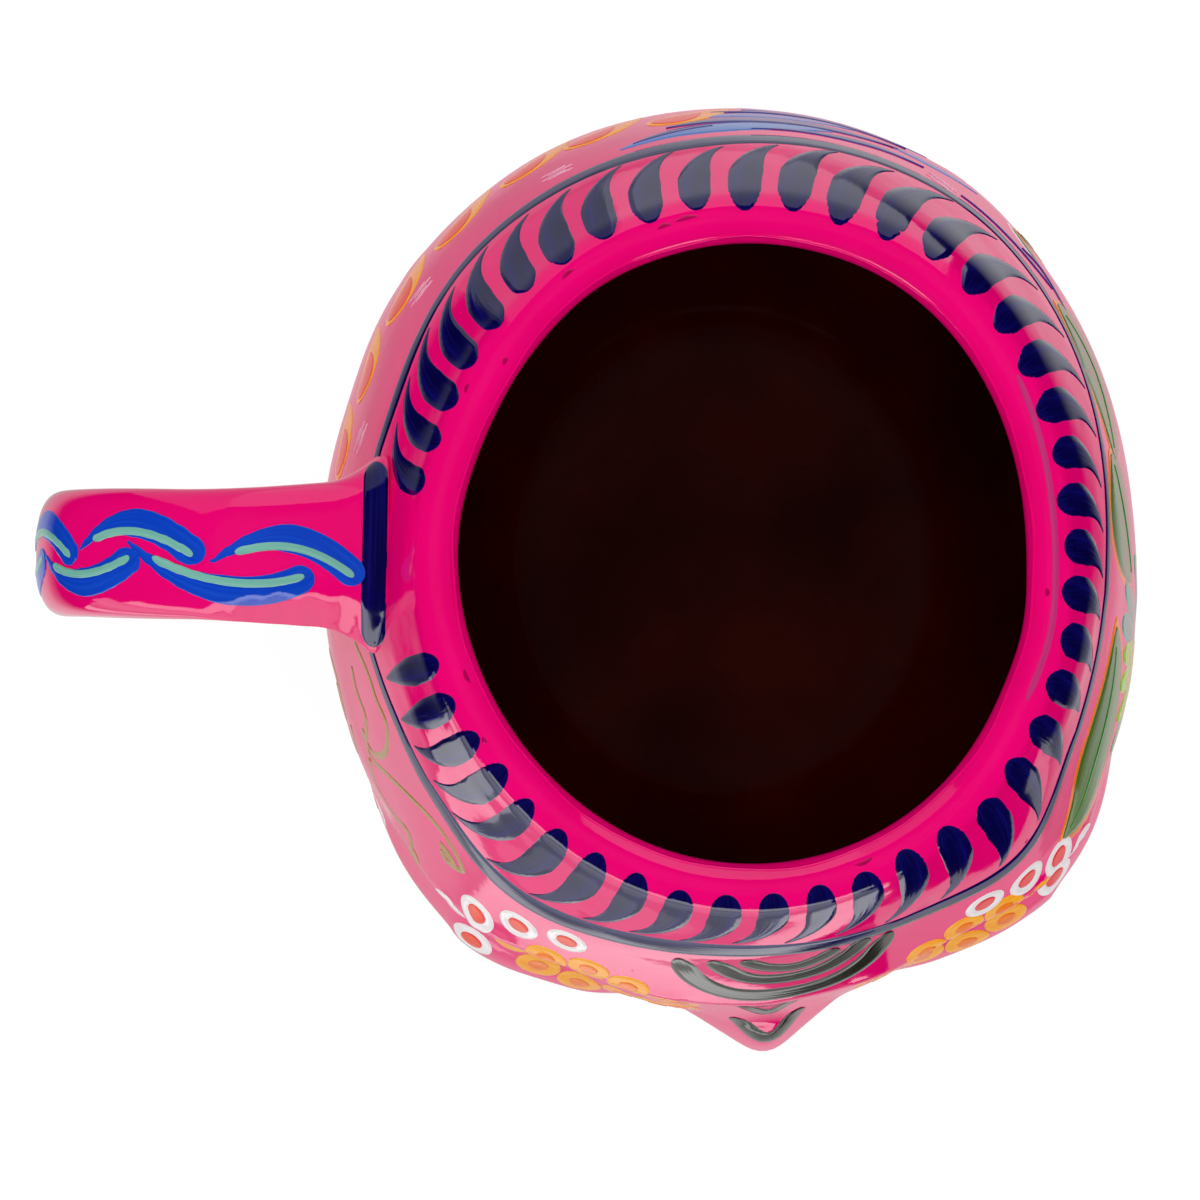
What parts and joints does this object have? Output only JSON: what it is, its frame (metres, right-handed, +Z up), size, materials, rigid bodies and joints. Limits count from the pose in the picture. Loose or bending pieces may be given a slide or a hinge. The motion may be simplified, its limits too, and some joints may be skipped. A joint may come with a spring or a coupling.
{
  "type": "clay mug",
  "caption": "Oval round-bellied clay mug with a strap handle, glazed inside and painted outside, with a moulded brow, nose and cheekbones of a skull face.",
  "frame": {"origin": "middle of the flat base", "axes": "+Z up through the mouth, -Y out of the moulded face, -X out of the handle"},
  "size_m": [0.1304, 0.1127, 0.095],
  "materials": {
    "magenta_lacquer": "gloss",
    "brown_glaze": "gloss"
  },
  "bodies": {
    "root": {"pot": "magenta_lacquer", "glaze_lining": "brown_glaze", "handle": "magenta_lacquer", "handle_upper_lute": "magenta_lacquer", "handle_lower_lute": "magenta_lacquer", "brow_coil": "magenta_lacquer", "nose": "magenta_lacquer", "cheekbone_left": "magenta_lacquer", "cheekbone_right": "magenta_lacquer"}
  },
  "joints": []
}
